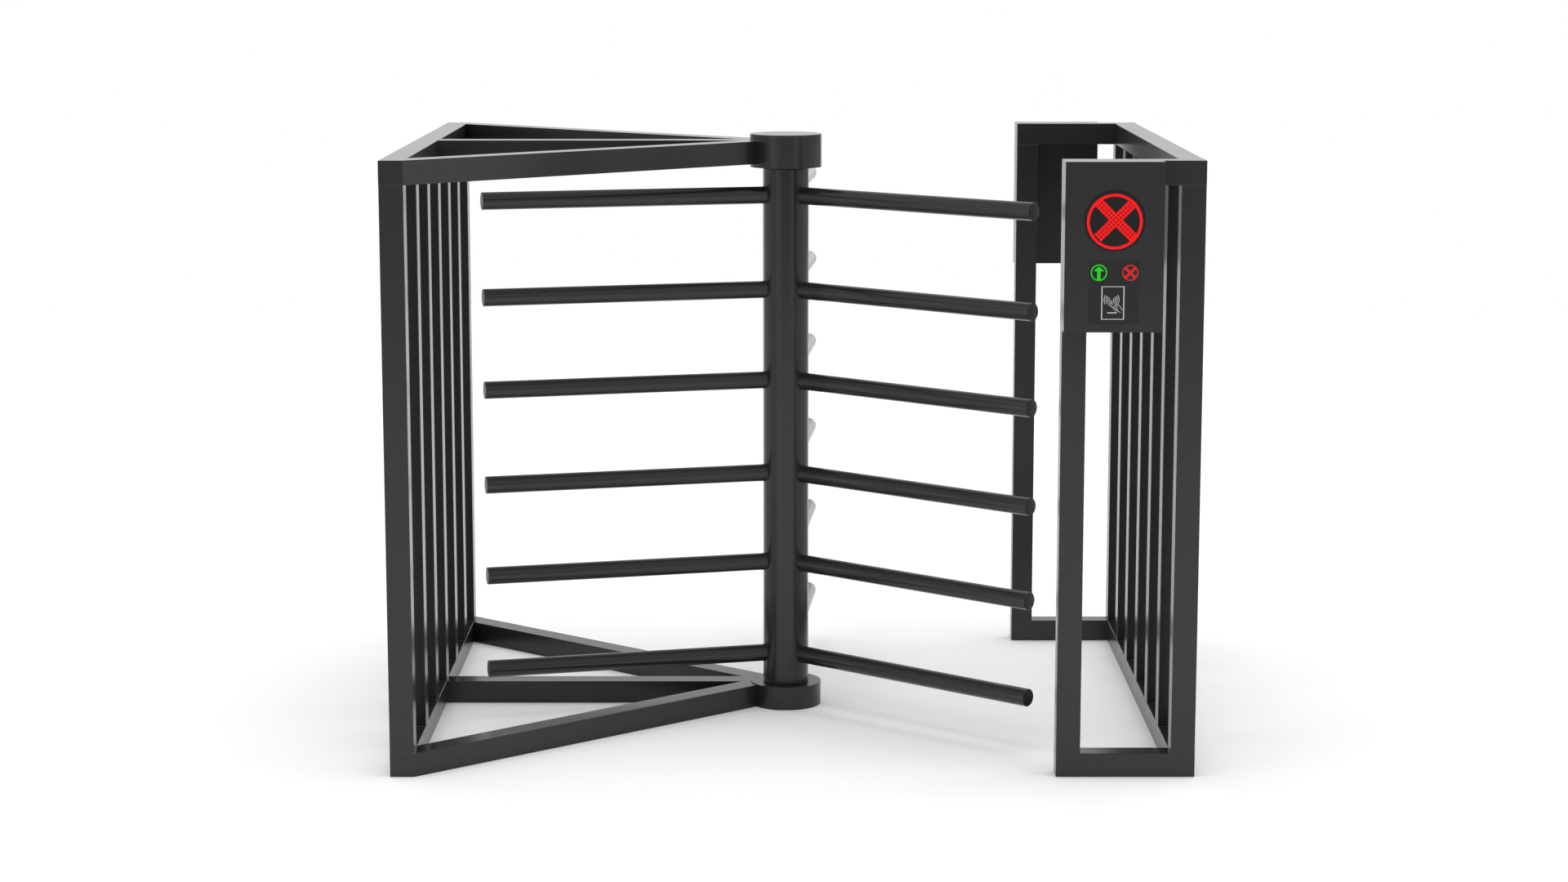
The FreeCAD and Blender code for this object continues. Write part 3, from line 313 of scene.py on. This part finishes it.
class Shape:
    """Gathers points and faces of one piece from several strokes."""

    def __init__(self, place=Vector):
        self.place = place
        self.points, self.faces = [], []

    def patch(self, points, faces):
        start = len(self.points)
        self.points += [self.place(p) for p in points]
        self.faces += [[start + i for i in face] for face in faces]

    def tube(self, path, radius, facing, sides=8):
        """A closed round bead along a path; facing is a direction that the path never takes."""
        count, points = len(path), []
        for i, centre in enumerate(path):
            along = (path[(i + 1) % count] - path[i - 1]).normalized()
            across = along.cross(Vector(facing)).normalized()
            up = across.cross(along)
            for k in range(sides):
                turn = math.tau * k / sides
                points.append(centre + radius * (math.cos(turn) * across + math.sin(turn) * up))
        self.patch(points, [
            [i * sides + k, (i + 1) % count * sides + k,
             (i + 1) % count * sides + (k + 1) % sides, i * sides + (k + 1) % sides]
            for i in range(count) for k in range(sides)])

    def ribbon(self, path, width, lift, closed=False):
        """A raised stroke of constant width along a path of (x, down) points."""
        count, points = len(path), []
        for i, (x, down) in enumerate(path):
            before = path[i - 1] if closed or i else path[i]
            after = path[(i + 1) % count] if closed or i + 1 < count else path[i]
            turn = math.atan2(after[1] - before[1], after[0] - before[0]) + math.pi / 2
            mitre = self._mitre(path, i, closed)
            aside = (math.cos(turn) * width / 2 * mitre, math.sin(turn) * width / 2 * mitre)
            for sign, out in ((-1, 0.0), (-1, lift), (1, lift), (1, 0.0)):
                points.append((x + sign * aside[0], down + sign * aside[1], out))
        faces = [[i * 4 + k, i * 4 + (k + 1) % 4, (i + 1) % count * 4 + (k + 1) % 4,
                  (i + 1) % count * 4 + k]
                 for i in range(count if closed else count - 1) for k in range(4)]
        if not closed:
            faces += [[3, 2, 1, 0], [4 * count - 4 + k for k in range(4)]]
        self.patch(points, faces)

    @staticmethod
    def _mitre(path, i, closed):
        """How much longer the half width is at a corner, so that the stroke keeps its width."""
        count = len(path)
        if not closed and i in (0, count - 1):
            return 1.0
        a = Vector(path[i]) - Vector(path[i - 1])
        b = Vector(path[(i + 1) % count]) - Vector(path[i])
        return 1 / max(0.5, math.cos(a.angle(b) / 2))

    def plate(self, outline, lift):
        """A raised filled outline of (x, down) points."""
        count = len(outline)
        points = [(x, down, out) for out in (0.0, lift) for x, down in outline]
        walls = [[k, (k + 1) % count, count + (k + 1) % count, count + k] for k in range(count)]
        self.patch(points, walls + [list(range(count))[::-1], list(range(count, 2 * count))])

    def dome(self, x, down, radius, lift, sides=12, rings=3):
        """A low domed lens."""
        points = [(x + radius * math.cos(lean) * math.cos(turn),
                   down + radius * math.cos(lean) * math.sin(turn), lift * math.sin(lean))
                  for lean in (math.pi / 2 * r / rings for r in range(rings))
                  for turn in (math.tau * k / sides for k in range(sides))]
        points.append((x, down, lift))
        faces = [[r * sides + k, r * sides + (k + 1) % sides,
                  (r + 1) * sides + (k + 1) % sides, (r + 1) * sides + k]
                 for r in range(rings - 1) for k in range(sides)]
        last = (rings - 1) * sides
        faces += [[last + k, last + (k + 1) % sides, rings * sides] for k in range(sides)]
        faces.append(list(range(sides))[::-1])
        self.patch(points, faces)


FINE_STEPS = 96                    # sides of a circle that is seen large


def circle(x, down, radius, steps=64):
    """Points of a circle."""
    turns = [math.tau * k / steps for k in range(steps)]
    return [(x + radius * math.cos(turn), down + radius * math.sin(turn)) for turn in turns]


def arc(x, down, radius, middle, half, steps=12):
    """Points of an arc about the direction middle, in degrees, half of it to each side."""
    turns = [math.radians(middle - half + 2 * half * k / steps) for k in range(steps + 1)]
    return [(x + radius * math.cos(t), down + radius * math.sin(t)) for t in turns]


def smooth_line(points, per_run=6):
    """A Catmull-Rom curve through a few points."""
    ends = [points[0], *points, points[-1]]
    line = []
    for i in range(1, len(ends) - 2):
        p = [Vector(q) for q in ends[i - 1:i + 3]]
        for k in range(per_run):
            t = k / per_run
            q = 0.5 * (2 * p[1] + (p[2] - p[0]) * t + (2 * p[0] - 5 * p[1] + 4 * p[2] - p[3]) * t * t
                       + (3 * p[1] - p[0] - 3 * p[2] + p[3]) * t ** 3)
            line.append((q.x, q.y))
    return line + [tuple(points[-1])]


def box_face(side, window):
    """Turns (x from the signal box's left edge, down from its top, out of the window), all in mm,
    as its reader sees them, into a point of the frame."""
    low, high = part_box(f"{side}_signal_housing")
    window_low, window_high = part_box(window)

    def place(point):
        x, down, out = (c * MM for c in point)
        if side == "front":
            return Vector((low.x + x, window_low.y - out, high.z - down))
        return Vector((high.x - x, window_high.y + out, high.z - down))
    return place


# The lamp: a red ring and a cross of round LEDs on the round window's face, in mm on the box.
LAMP = (100.0, 117.3)              # the window's centre on the box
LAMP_RING = (99.9, 120.0)          # the ring sits a little off the window's centre
LED_CROSS = (102.2, 116.7)         # and so does the cross
RING_RADIUS, RING_WIDTH = 53.2, 5.6
LED_STEP = 4.85                    # half of the diagonal lattice's cell
LED_RADIUS, LED_LIFT = 3.35, 0.45
LED_MARGIN = 3                     # kept clear inside the ring's middle line
PRINT_LIFT = 0.2
BEZEL_RADIUS, BEZEL_BEAD, BEZEL_OUT = 63.0, 0.4, 0.3


def cross_leds():
    """Centres of the LEDs: three rows along each diagonal, out to the ring."""
    reach = 12                     # cells each way, past the ring
    for i in range(-reach, reach + 1):
        for j in range(-reach, reach + 1):
            x, down = (i + j) * LED_STEP, (j - i) * LED_STEP
            if min(abs(i), abs(j)) <= 1 and math.hypot(x, down) < RING_RADIUS - LED_MARGIN:
                yield LED_CROSS[0] + x, LED_CROSS[1] + down


# The reader's symbols, in mm on the box: two round signs, and a card with a hand and radio waves.
GO, STOP = (69.5, 222.9), (132.8, 222.9)
GO_RADIUS, STOP_RADIUS, SIGN_WIDTH = 15.4, 15.0, 2.5
GO_ARROW = ((-3.4, 14.6), (-3.4, -2.6), (-10.4, -3.6), (0, -12.6), (10.4, -3.6), (3.4, -2.6),
            (3.4, 14.6))
STOP_REACH, STOP_WIDTH = 10.2, 5.4
READER_CARD = [(76.3, 251.1), (120.6, 251.1), (120.6, 317.1), (76.3, 317.1)]
CARD_WIDTH = 2.2
WAVES = (96.0, 277.2)
WAVE_RADII = (4.5, 7.9, 11.4, 15.2)
WAVE_HALF, WAVE_WIDTH = 38, 1.5    # degrees to each side, and the stroke
HAND = [
    [(99.3, 294.4), (89.1, 285.7), (94.7, 279.6), (106.2, 286.9)],
    smooth_line([(102.0, 287.9), (105.5, 289.1), (109.0, 291.5)]),
    smooth_line([(105.8, 286.3), (110.6, 288.2), (113.4, 291.9), (115.8, 295.9), (119.0, 298.1)]),
    smooth_line([(99.8, 289.5), (100.8, 295.5), (104.6, 299.5), (108.3, 299.1), (106.4, 294.5),
                 (102.4, 290.1)]),
    [(102.7, 294.2), (105.6, 296.9)],
    smooth_line([(108.0, 299.3), (110.4, 301.7), (114.8, 302.8)]),
]
HAND_WIDTH = 1.3
CHIP, CHIP_WIDTH = [(93.7, 283.3), (97.6, 287.1)], 2.6          # on the card in the hand
UNDERLINE, UNDERLINE_WIDTH = [(87.6, 304.0), (107.0, 304.0)], 2.5
# Strokes that cross lie at slightly different heights, so that no faces coincide.
STOP_STAGGER, HAND_STAGGER, CHIP_STAGGER = 0.02, 0.004, 0.03

for side in SIDES:
    lamp_face = box_face(side, f"{side}_lamp_window")
    reader_face = box_face(side, f"{side}_reader_window")
    outward = (0, -1, 0) if side == "front" else (0, 1, 0)

    leds = Shape(lamp_face)
    for led_x, led_down in cross_leds():
        leds.dome(led_x, led_down, LED_RADIUS, LED_LIFT)
    piece(f"{side}_lamp_cross_leds", leds.points, leds.faces, LED_RED, "frame")

    ring = Shape(lamp_face)
    ring.ribbon(circle(*LAMP_RING, RING_RADIUS, FINE_STEPS), RING_WIDTH, PRINT_LIFT, closed=True)
    piece(f"{side}_lamp_ring", ring.points, ring.faces, LED_RED, "frame", smooth=False)

    bezel = Shape()
    rim = circle(*LAMP, BEZEL_RADIUS, FINE_STEPS)
    bezel.tube([lamp_face((x, down, BEZEL_OUT)) for x, down in rim], BEZEL_BEAD * MM, outward)
    piece(f"{side}_lamp_bezel", bezel.points, bezel.faces, FINISHES["frame_paint"], "frame")

    go = Shape(reader_face)
    go.ribbon(circle(*GO, GO_RADIUS), SIGN_WIDTH, PRINT_LIFT, closed=True)
    go.plate([(GO[0] + x, GO[1] + down) for x, down in GO_ARROW], PRINT_LIFT)
    piece(f"{side}_reader_go_arrow", go.points, go.faces, PRINT_GREEN, "frame", smooth=False)

    stop = Shape(reader_face)
    stop.ribbon(circle(*STOP, STOP_RADIUS), SIGN_WIDTH, PRINT_LIFT, closed=True)
    for lean in (1, -1):
        left_end = (STOP[0] - STOP_REACH, STOP[1] - STOP_REACH * lean)
        right_end = (STOP[0] + STOP_REACH, STOP[1] + STOP_REACH * lean)
        stop.ribbon([left_end, right_end], STOP_WIDTH, PRINT_LIFT + STOP_STAGGER * lean)
    piece(f"{side}_reader_stop_cross", stop.points, stop.faces, PRINT_RED, "frame", smooth=False)

    card = Shape(reader_face)
    card.ribbon(READER_CARD, CARD_WIDTH, PRINT_LIFT, closed=True)
    for wave_radius in WAVE_RADII:
        for middle in (0, 180):
            card.ribbon(arc(*WAVES, wave_radius, middle, WAVE_HALF), WAVE_WIDTH, PRINT_LIFT)
    for index, stroke in enumerate(HAND, 1):
        card.ribbon(stroke, HAND_WIDTH, PRINT_LIFT + HAND_STAGGER * index)
    card.ribbon(CHIP, CHIP_WIDTH, PRINT_LIFT + CHIP_STAGGER)
    card.ribbon(UNDERLINE, UNDERLINE_WIDTH, PRINT_LIFT)
    piece(f"{side}_reader_card_symbol", card.points, card.faces, PRINT_GREY, "frame", smooth=False)

# Welded and dressed joints: each post and bar meets its rails in a fine seam, whose lighter paint is a
# painted highlight.
SEAM_RADIUS = 0.5 * MM
SEAM_CORNER = 1.5 * MM


def seam_round(shape, low, high, z, corner=SEAM_CORNER):
    """A fine bead round a square tube at height z."""
    path = []
    for turn, (x, y) in zip((0, 90, 180, 270), ((high.x, high.y), (low.x, high.y), (low.x, low.y),
                                               (high.x, low.y))):
        inward_x = -corner if x == high.x else corner
        inward_y = -corner if y == high.y else corner
        inner = Vector((x + inward_x, y + inward_y, z))
        for k in range(4):
            lean = math.radians(turn + 30 * k)
            path.append(inner + corner * Vector((math.cos(lean), math.sin(lean), 0)))
    shape.tube(path, SEAM_RADIUS, (0, 0, 1), 6)


seams = Shape()
for post in ("left_front_post", "left_rear_post", "front_inner_post", "front_outer_post",
             "rear_inner_post", "rear_outer_post"):
    post_low, post_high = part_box(post)
    for level in (post_low.z, post_high.z):
        seam_round(seams, post_low, post_high, level)
BARS_A_SIDE = 5
for row in ("left_bars", "right_bars"):
    row_low, row_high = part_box(row)
    width = row_high.x - row_low.x
    pitch = (row_high.y - row_low.y - width) / (BARS_A_SIDE - 1)
    for index in range(BARS_A_SIDE):
        bar_low = Vector((row_low.x, row_low.y + index * pitch, row_low.z))
        bar_high = Vector((row_high.x, bar_low.y + width, row_high.z))
        for level in (row_low.z, row_high.z):
            seam_round(seams, bar_low, bar_high, level)
piece("frame_seam_welds", seams.points, seams.faces, SEAM_PAINT_WITH_PAINTED_HIGHLIGHT, "frame")

# Dressed fillet welds where the arms enter the column.
ARM_WELD_RADIUS = 1.2 * MM
SADDLE_STEPS = 48
arm_welds = Shape()
for wing_angle in WING_ANGLES:
    heading = Matrix.Rotation(math.radians(wing_angle), 4, "Z")
    for arm_level in ARM_LEVELS:
        saddle = []
        for step in range(SADDLE_STEPS):
            about = math.tau * step / SADDLE_STEPS
            aside, up = ARM_RADIUS * math.cos(about), ARM_RADIUS * math.sin(about)
            out = math.sqrt(COLUMN_RADIUS ** 2 - aside ** 2)
            saddle.append(AXIS + heading @ Vector((out, aside, arm_level * MM + up)))
        arm_welds.tube(saddle, ARM_WELD_RADIUS, heading @ Vector((1, 0, 0)))
piece("arm_welds", arm_welds.points, arm_welds.faces, FINISHES["rotor_paint"], "rotor")

# A fine rolled lip round the column's foot, in the lighter seam paint as a painted highlight.
LIP_RISE, LIP_RADIUS = 1.3 * MM, 0.8 * MM
LIP_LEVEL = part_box("rotor_column")[0].z + LIP_RISE
foot_lip = Shape()
foot_round = circle(0, 0, COLUMN_RADIUS, FINE_STEPS)
foot_lip.tube([AXIS + Vector((x, y, LIP_LEVEL)) for x, y in foot_round], LIP_RADIUS, (0, 0, 1))
piece("column_foot_lip", foot_lip.points, foot_lip.faces, SEAM_PAINT_WITH_PAINTED_HIGHLIGHT, "rotor")


# ---------------------------------------------------------------- floor, light and camera

FLOOR_RADIUS = 8.0
FLOOR_DROP = 0.2 * MM              # below the object's feet, so that no faces coincide
floor_mesh = bpy.data.meshes.new("floor")
floor_mesh.from_pydata([(x, y, 0) for x, y in circle(0, 0, FLOOR_RADIUS, FINE_STEPS)], [],
                       [list(range(FINE_STEPS))])
floor = bpy.data.objects.new("floor", floor_mesh)
floor.location.z = -FLOOR_DROP
SCENE.collection.objects.link(floor)
paper = Graph("white_floor")
fibres = paper.noise(3, 3)
paper.surface(Base_Color=paper.tint(fibres, (0.86, 0.86, 0.86), (0.88, 0.88, 0.88)),
              Roughness=paper.spread(fibres, 0.85, 0.95), Specular_IOR_Level=0.0)
floor_mesh.materials.append(paper.material)

# The room's share of full brightness by height: bright low walls, a dimmer band, a brighter one,
# then the ceiling. Heights and other directions are parts of a unit vector.
HEIGHTS = ((0.11, 1.0), (0.21, 0.48), (0.30, 0.48), (0.42, 0.67), (0.85, 0.39))
BRIGHTEST, DIMMEST = 1.42, 0.54
FRONT_WALL = (-0.95, -0.78)        # the room turns dimmer between these, towards -Y
HORIZON = (-0.03, 0.02)            # and between these, towards the floor
BELOW_HORIZON = 0.71               # the share of its brightness that it keeps there
WHITE = (1, 1, 1, 1)

world = bpy.data.worlds.new("studio")
world.use_nodes = True
sky = world.node_tree
sky.nodes.clear()


def sky_range(source, limits, low, high):
    """Maps a direction's range, between two limits, to low..high."""
    node = sky.nodes.new("ShaderNodeMapRange")
    for name, number in (("From Min", limits[0]), ("From Max", limits[1]), ("To Min", low),
                         ("To Max", high)):
        node.inputs[name].default_value = number
    sky.links.new(source, node.inputs["Value"])
    return node.outputs["Result"]


def sky_product(first, second):
    """One share of the brightness times another."""
    node = sky.nodes.new("ShaderNodeMath")
    node.operation = "MULTIPLY"
    sky.links.new(first, node.inputs[0])
    sky.links.new(second, node.inputs[1])
    return node.outputs[0]


direction = sky.nodes.new("ShaderNodeTexCoord").outputs["Generated"]
split = sky.nodes.new("ShaderNodeSeparateXYZ")
sky.links.new(direction, split.inputs[0])
ceiling = sky.nodes.new("ShaderNodeValToRGB")
for index, (height, share) in enumerate(HEIGHTS):
    if index < 2:                  # a new ramp has two elements already
        element = ceiling.color_ramp.elements[index]
        element.position = height
    else:
        element = ceiling.color_ramp.elements.new(height)
    element.color = (share, share, share, 1)
sky.links.new(split.outputs["Z"], ceiling.inputs["Fac"])
front_wall = sky_range(split.outputs["Y"], FRONT_WALL, DIMMEST, BRIGHTEST)
room = sky_product(ceiling.outputs["Color"], front_wall)
horizon = sky_range(split.outputs["Z"], HORIZON, BELOW_HORIZON, 1.0)
walls = sky.nodes.new("ShaderNodeBackground")
walls.inputs["Color"].default_value = WHITE
sky.links.new(sky_product(room, horizon), walls.inputs["Strength"])
# The camera sees a plain white backdrop in place of the walls, which still light the object.
backdrop = sky.nodes.new("ShaderNodeBackground")
backdrop.inputs["Color"].default_value = WHITE
seen = sky.nodes.new("ShaderNodeLightPath")
either = sky.nodes.new("ShaderNodeMixShader")
sky.links.new(seen.outputs["Is Camera Ray"], either.inputs[0])
sky.links.new(walls.outputs[0], either.inputs[1])
sky.links.new(backdrop.outputs[0], either.inputs[2])
sky.links.new(either.outputs[0], sky.nodes.new("ShaderNodeOutputWorld").inputs["Surface"])
SCENE.world = world

# Three broad soft lights, which gloss doesn't show: (name, lean towards +X in degrees, strength).
LIGHTS = (("ceiling_light", 0, 1.6), ("left_light", -58, 0.36), ("right_light", 58, 0.36))
LIGHT_SPREAD = 60                  # degrees across
for light_name, lean, strength in LIGHTS:
    light_data = bpy.data.lights.new(light_name, "SUN")
    light_data.energy = strength
    light_data.angle = math.radians(LIGHT_SPREAD)
    light = bpy.data.objects.new(light_name, light_data)
    light.rotation_euler = (0, math.radians(lean), 0)
    light.visible_glossy = False
    SCENE.collection.objects.link(light)

CAMERA_PLACE = (-0.0171, -6.9748, 1.7165)
CAMERA_DIP = 9.096                 # degrees below level
SENSOR_WIDTH, FOCAL_LENGTH = 36.0, 71.86                      # mm
FAR_CLIP = 500.0
camera_data = bpy.data.cameras.new("camera")
camera_data.sensor_width = SENSOR_WIDTH
camera_data.lens = FOCAL_LENGTH
camera_data.clip_end = FAR_CLIP
camera = bpy.data.objects.new("camera", camera_data)
camera.location = CAMERA_PLACE
camera.rotation_euler = (math.radians(90 - CAMERA_DIP), 0, 0)
SCENE.collection.objects.link(camera)
SCENE.camera = camera
SCENE.view_settings.view_transform = "Standard"
